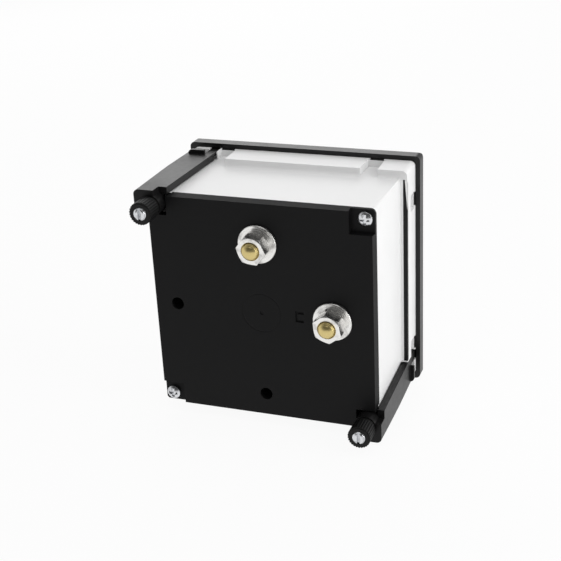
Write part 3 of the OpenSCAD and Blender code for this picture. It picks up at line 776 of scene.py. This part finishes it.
@dataclass
class Terminals:
    """Two threaded studs with their washers, nuts and inner straps."""

    pitch: float = 1.0 * MM
    dome: float = 1.3 * MM

    def build(self) -> None:
        """Cuts the studs' threads and dresses the hardware."""
        for side, nickel in (("top", Finish.NICKEL_TOP), ("side", Finish.NICKEL_SIDE)):
            node = f"terminal_stud_{side}"
            low, high = box_mm(node)
            thread = Thread(
                axis_of(node), low[1], high[1], (high[0] - low[0]) / 2, self.pitch, self.dome, 56, 10
            )
            stud = piece(f"stud_thread_{side}", thread.surface(), Finish.STUD_BRASS, CASE)
            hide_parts(node)
            dress(
                {
                    nickel: [
                        f"terminal_washer_{side}",
                        f"spring_washer_{side}",
                        f"terminal_nut_{side}",
                    ]
                }
            )
        dress(
            {
                Finish.NICKEL_INSIDE: ["inner_washers", "inner_nuts"],
                Finish.STRAP_COPPER: ["coil_strap_top", "coil_strap_side"],
            }
        )


@dataclass
class Clamps:
    """Two corner clamps on threaded rods."""

    pitch: float = 0.8 * MM
    slot_w: float = 1.0 * MM
    slot_d: float = 1.3 * MM

    def build(self) -> None:
        """Cuts the rods' threads and slots and dresses the mouldings."""
        for side in ("right", "left"):
            node = f"clamp_rod_{side}"
            low, high = box_mm(node)
            centre = axis_of(node)
            radius = (high[0] - low[0]) / 2
            thread = Thread(centre, low[1], high[1], radius, self.pitch)
            rod = piece(f"rod_thread_{side}", thread.surface(), Finish.ROD_ZINC, CASE)
            slotted(
                rod,
                (centre[0] - self.slot_w / 2, high[1] - self.slot_d, centre[1] - 2 * radius),
                (centre[0] + self.slot_w / 2, high[1] + MM, centre[1] + 2 * radius),
            )
            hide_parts(node)
            dress({Finish.CLAMP_BLACK: [f"clamp_{side}"], Finish.KNOB_BLACK: [f"thumb_nut_{side}"]})


@dataclass
class Movement:
    """The moving-iron movement and its coil."""

    wire: float = 0.42 * MM
    rim: float = 0.4 * MM
    tail_angles: Tuple[float, float] = (100.0, 170.0)
    tail_in: float = 3.05 * MM
    strap_gap: float = 1.3 * MM
    head_r: float = 1.5 * MM

    def build(self) -> None:
        """Winds the coil, leads it out, locks the screws and dresses the movement."""
        self.wind()
        self.lead_out()
        self.lock()
        dress(
            {
                Finish.THERMOSET: ["movement_frame"],
                Finish.DARK_STEEL: ["frame_screws", "damping_chamber"],
                Finish.FORMER_NYLON: ["coil_former"],
                Finish.SOFT_IRON: ["fixed_vane", "moving_vane"],
                Finish.SPINDLE: ["spindle"],
                Finish.ALUMINIUM: ["damping_vane"],
                Finish.POINTER_BLACK: ["pointer"],
                Finish.MOVEMENT_BRASS: [
                    "zero_lever",
                    "front_bridge",
                    "bridge_screws",
                    "front_jewel_screw",
                    "rear_jewel_screw",
                    "balance_weights",
                ],
                Finish.SPRING_BRONZE: ["hairspring"],
            }
        )

    def wind(self) -> None:
        """Lays the coil's outer turns.

        The outer radius swells and dips once for each turn of wire, with the
        phase moving on by one wire a turn, and the inner radius is plain.
        """
        low, high = box_mm("coil_former")
        centre = axis_of("coil_former")
        outer = (high[0] - low[0]) / 2 - self.rim
        inner = outer - 4.5 * MM
        y0, y1 = low[1] + 1.1 * MM, high[1] - 1.1 * MM
        around = 64
        y = np.linspace(y0, y1, int((y1 - y0) / self.wire * 8))
        angle = np.linspace(0.0, 2.0 * np.pi, around, endpoint=False)
        phase = y[:, None] / self.wire - angle[None, :] / (2 * np.pi)
        r = outer - self.wire / 2 + self.wire / 2 * np.abs(np.sin(np.pi * phase))
        end = np.full((1, around), inner)
        shell = turned(
            centre, np.concatenate([y[:1], y, y[-1:]]), np.vstack([end, r, end]), around
        )
        coil = piece("coil_turns", shell, Finish.COIL_ENAMEL, CASE)
        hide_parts("coil_winding")

    def lead_out(self) -> None:
        """Leads the two ends of the winding out to the straps and solders them.

        A tail leaves the outer turn some way before its strap and rises to it
        on a smooth path. The solder is a squat ball on the end of the tail.
        """
        low, high = box_mm("coil_former")
        x, z = axis_of("coil_former")
        outer = (high[0] - low[0]) / 2 - self.rim
        reach = self.rim + self.strap_gap
        y = high[1] - self.tail_in
        rise = np.array([-0.15, 0.06, 0.55, 1.0]) * reach
        before = np.radians([-40.0, -24.0, -10.0, 0.0])
        across = np.linspace(-1.0, 1.0, 15)
        for side, degrees in zip(("top", "side"), self.tail_angles):
            angle = math.radians(degrees) + before
            radius = outer + rise
            knots = np.stack(
                [x + radius * np.cos(angle), np.full(4, y), z + radius * np.sin(angle)], -1
            )
            piece(
                f"coil_tail_{side}",
                tube(smooth_path(knots), self.wire / 2),
                Finish.COIL_ENAMEL,
                CASE,
            )
            ball = turned(
                (knots[-1][0], knots[-1][2]),
                y + 0.7 * MM * across,
                0.8 * MM * np.sqrt(1.0 - 0.98 * across**2),
                24,
            )
            piece(f"tail_solder_{side}", ball, Finish.SOLDER, CASE)

    def lock(self) -> None:
        """Puts a drop of locking lacquer on the rim of each bridge screw.

        A drop is a low dome, whose radius falls as a quarter of an ellipse from
        the bridge's face forwards.
        """
        corners = box_mm("bridge_screws")
        face = box_mm("front_bridge")[0][1]
        height, radius = 0.6 * MM, 0.9 * MM
        share = np.linspace(0.99, -0.05, 14)
        for number, (corner, way) in enumerate(zip(corners, (1.0, -1.0)), start=1):
            centre = (corner[0] + way * 2.0 * self.head_r, corner[2] + way * self.head_r)
            dome = turned(centre, face - height * share, radius * np.sqrt(1.0 - share**2), 24)
            piece(f"lock_lacquer_{number}", dome, Finish.SEAL_LACQUER, CASE)


@dataclass
class Dial:
    """The printed scale plate."""

    radius: float = 56 * MM
    band: float = 0.5 * MM
    major: float = 5.0 * MM
    minor: float = 3.0 * MM
    full_scale: int = 100
    exponent: float = 1.3
    lift: float = 0.03 * MM

    def angle(self, share: np.ndarray) -> np.ndarray:
        """Angle of a share of full scale.

        A moving iron turns less at small currents, so the angle is the share
        raised to a power, times a quarter turn.

        Args:
            share: Shares of full scale.

        Returns:
            Angles in radians, from the -X direction towards +Z.
        """
        return np.asarray(share, float) ** self.exponent * np.pi / 2

    def at(self, radius: Union[float, np.ndarray], angle: np.ndarray) -> np.ndarray:
        """X and Z of points round the pivot."""
        x, z = axis_of("spindle")
        return np.stack([x - radius * np.cos(angle), z + radius * np.sin(angle)], -1)

    def build(self) -> None:
        """Prints the arc, the ticks and the figures."""
        dress({Finish.DIAL_WHITE: ["scale_plate"]})
        plane = box_mm("scale_plate")[0][1] - self.lift
        arc = np.linspace(0, np.pi / 2, 91)
        strips = [np.stack([self.at(self.radius, arc), self.at(self.radius + self.band, arc)])]
        for step in range(0, self.full_scale + 1, 2):
            major, middle = step % 20 == 0, step % 10 == 0
            if step < 8 and not major:
                continue
            a = self.angle(step / self.full_scale)
            half = (0.45 if major else 0.3 if middle else 0.16) * MM
            long = self.major if major else self.major * 0.8 if middle else self.minor
            spread = np.array([a - half / self.radius, a + half / self.radius])
            strips.append(np.stack([self.at(self.radius, spread), self.at(self.radius + long, spread)]))
        piece("dial_ticks", plate_outline(strips, plane), Finish.DIAL_INK, CASE, True)
        for step in range(0, self.full_scale + 1, 20):
            spot = self.at(self.radius + self.major + 4.0 * MM, self.angle(step / self.full_scale))
            self.letter(f"dial_figure_{step}", str(step), spot, 5.2 * MM, plane)
        self.letter("dial_unit", "A", self.at(30 * MM, np.array(np.pi * 0.26)), 11 * MM, plane)

    def letter(self, name: str, text: str, spot: np.ndarray, size: float, plane: float) -> None:
        """Prints one word.

        Args:
            name: The piece's name.
            text: What it says.
            spot: X and Z of its middle.
            size: The height of its capitals, about.
            plane: The plane that it lies in.
        """
        curve = bpy.data.curves.new(name, "FONT")
        curve.body = text
        curve.size = size
        curve.align_x = "CENTER"
        curve.align_y = "CENTER"
        holder = bpy.data.objects.new(name, curve)
        bpy.context.scene.collection.objects.link(holder)
        mesh = bpy.data.meshes.new_from_object(
            holder.evaluated_get(bpy.context.evaluated_depsgraph_get())
        )
        bpy.data.objects.remove(holder)
        points = np.empty(len(mesh.vertices) * 3)
        mesh.vertices.foreach_get("co", points)
        flat = points.reshape(-1, 3)
        placed = np.stack(
            [flat[:, 0] + spot[0], np.full(len(flat), plane), flat[:, 1] + spot[1]], -1
        )
        mesh.vertices.foreach_set("co", placed.ravel())
        mesh.update()
        made = bpy.data.objects.new(name, mesh)
        bpy.context.scene.collection.objects.link(made)
        made.data.materials.clear()
        made.data.materials.append(Finish.DIAL_INK.made())
        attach(made, CASE)
        log.info("piece %s: %s", name, text)


# ------------------------------------------------------------------ studio


@dataclass
class Studio:
    """Floor, light and camera."""

    camera_at: Tuple[float, float, float] = (-0.15534, 0.43294, 0.19452)
    camera_turn: Tuple[float, float, float] = (1.15500, 0.04637, -2.79394)
    focal: float = 77.98

    def build(self) -> None:
        """Sets the view, the floor, the world and the lamps."""
        scene = bpy.context.scene
        scene.view_settings.view_transform = "Standard"
        self.camera(scene)
        self.floor()
        self.world(scene)
        self.lamps()

    def camera(self, scene: bpy.types.Scene) -> None:
        """Places the camera behind the meter, above and to its left."""
        data = bpy.data.cameras.new("camera")
        data.lens = self.focal
        data.sensor_width = 36.0
        made = bpy.data.objects.new("camera", data)
        made.location = self.camera_at
        made.rotation_euler = Euler(self.camera_turn, "XYZ")
        scene.collection.objects.link(made)
        scene.camera = made

    def floor(self) -> None:
        """A wide pale floor under the meter, which keeps a faint shadow."""
        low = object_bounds()[0]
        mesh = bpy.data.meshes.new("floor")
        side = 6.0
        z = low[2] - 0.02 * MM
        mesh.from_pydata([(-side, -side, z), (side, -side, z), (side, side, z), (-side, side, z)], [], [(0, 1, 2, 3)])
        made = bpy.data.objects.new("floor", mesh)
        bpy.context.scene.collection.objects.link(made)
        g = Graph("floor_white")
        plain = g.node("ShaderNodeBsdfDiffuse", {}, {"Color": (0.8, 0.8, 0.8, 1.0)})
        glow = g.node("ShaderNodeEmission", {}, {"Color": (1.0, 1.0, 1.0, 1.0), "Strength": 1.0})
        path = g.raw("ShaderNodeLightPath", {}, {})
        ways = ("Is Camera Ray", "Is Glossy Ray", "Is Transmission Ray")
        seen = [Wire(g, path.outputs[way]) for way in ways]
        share = (seen[0] + seen[1] + seen[2]).clamp() * 0.93
        g.raw(
            "ShaderNodeOutputMaterial",
            {},
            {"Surface": g.node("ShaderNodeMixShader", {}, {0: share, 1: plain, 2: glow})},
        )
        made.data.materials.append(g.material)
        made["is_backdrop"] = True

    def world(self, scene: bpy.types.Scene) -> None:
        """White to the eye; in gloss the room behind the camera and the ceiling are dimmer."""
        world = bpy.data.worlds.new("studio")
        scene.world = world
        world.use_nodes = True
        tree = world.node_tree
        tree.nodes.clear()
        path = tree.nodes.new("ShaderNodeLightPath")
        way = tree.nodes.new("ShaderNodeTexCoord")
        aim = tree.nodes.new("ShaderNodeVectorMath")
        aim.operation = "DOT_PRODUCT"
        towards = np.array(self.camera_at) / np.linalg.norm(self.camera_at)
        aim.inputs[1].default_value = tuple(towards)
        tree.links.new(way.outputs["Generated"], aim.inputs[0])
        room = tree.nodes.new("ShaderNodeMapRange")
        room.interpolation_type = "SMOOTHSTEP"
        room.inputs["From Min"].default_value = 0.1
        room.inputs["From Max"].default_value = 0.75
        room.inputs["To Min"].default_value = 1.0
        room.inputs["To Max"].default_value = 0.12
        tree.links.new(aim.outputs["Value"], room.inputs["Value"])
        height = tree.nodes.new("ShaderNodeSeparateXYZ")
        tree.links.new(way.outputs["Generated"], height.inputs[0])
        ceiling = tree.nodes.new("ShaderNodeMapRange")
        ceiling.interpolation_type = "SMOOTHSTEP"
        ceiling.inputs["From Min"].default_value = 0.1
        ceiling.inputs["From Max"].default_value = 0.4
        ceiling.inputs["To Min"].default_value = 1.0
        ceiling.inputs["To Max"].default_value = 0.55
        tree.links.new(height.outputs["Z"], ceiling.inputs["Value"])
        both = tree.nodes.new("ShaderNodeMath")
        both.operation = "MULTIPLY"
        tree.links.new(room.outputs[0], both.inputs[0])
        tree.links.new(ceiling.outputs[0], both.inputs[1])
        gloss = tree.nodes.new("ShaderNodeBackground")
        tree.links.new(both.outputs[0], gloss.inputs["Strength"])
        white = tree.nodes.new("ShaderNodeBackground")
        soft = tree.nodes.new("ShaderNodeBackground")
        soft.inputs["Strength"].default_value = 0.5
        for item in (gloss, white, soft):
            item.inputs["Color"].default_value = (1.0, 1.0, 1.0, 1.0)
        first = tree.nodes.new("ShaderNodeMixShader")
        second = tree.nodes.new("ShaderNodeMixShader")
        clear = tree.nodes.new("ShaderNodeMath")
        clear.operation = "MAXIMUM"
        tree.links.new(path.outputs["Is Camera Ray"], clear.inputs[0])
        tree.links.new(path.outputs["Is Transmission Ray"], clear.inputs[1])
        tree.links.new(path.outputs["Is Glossy Ray"], first.inputs[0])
        tree.links.new(soft.outputs[0], first.inputs[1])
        tree.links.new(gloss.outputs[0], first.inputs[2])
        tree.links.new(clear.outputs[0], second.inputs[0])
        tree.links.new(first.outputs[0], second.inputs[1])
        tree.links.new(white.outputs[0], second.inputs[2])
        out = tree.nodes.new("ShaderNodeOutputWorld")
        tree.links.new(second.outputs[0], out.inputs[0])

    def lamps(self) -> None:
        """A broad lamp above, one beside the terminal end and a weak one in front."""
        for name, spot, size, power in (
            ("lamp_above", (-0.10, 0.10, 0.75), 0.7, 1.2),
            ("lamp_beside", (-0.75, 0.05, 0.25), 0.6, 3.85),
            ("lamp_front", (0.35, -0.70, 0.35), 0.6, 1.8),
        ):
            data = bpy.data.lights.new(name, "AREA")
            data.energy = power
            data.size = size
            made = bpy.data.objects.new(name, data)
            made.location = spot
            away = np.array(spot)
            made.rotation_euler = _facing(-away)
            bpy.context.scene.collection.objects.link(made)


def _facing(direction: np.ndarray) -> Euler:
    """The turn that points a lamp along a direction."""
    from mathutils import Vector

    return Vector(direction.tolist()).to_track_quat("-Z", "Y").to_euler()


# ------------------------------------------------------------------ whole


def main() -> None:
    """Builds the meter's sub-assemblies in order."""
    logging.basicConfig(level=logging.INFO, format="%(message)s")
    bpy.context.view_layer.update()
    parts: List[Union[Enclosure, Terminals, Clamps, Movement, Dial]] = [
        Enclosure(),
        Terminals(),
        Clamps(),
        Movement(),
        Dial(),
    ]
    for part in parts:
        log.info("building %s", type(part).__name__)
        part.build()
    Studio().build()


if __name__ == "__main__":
    main()
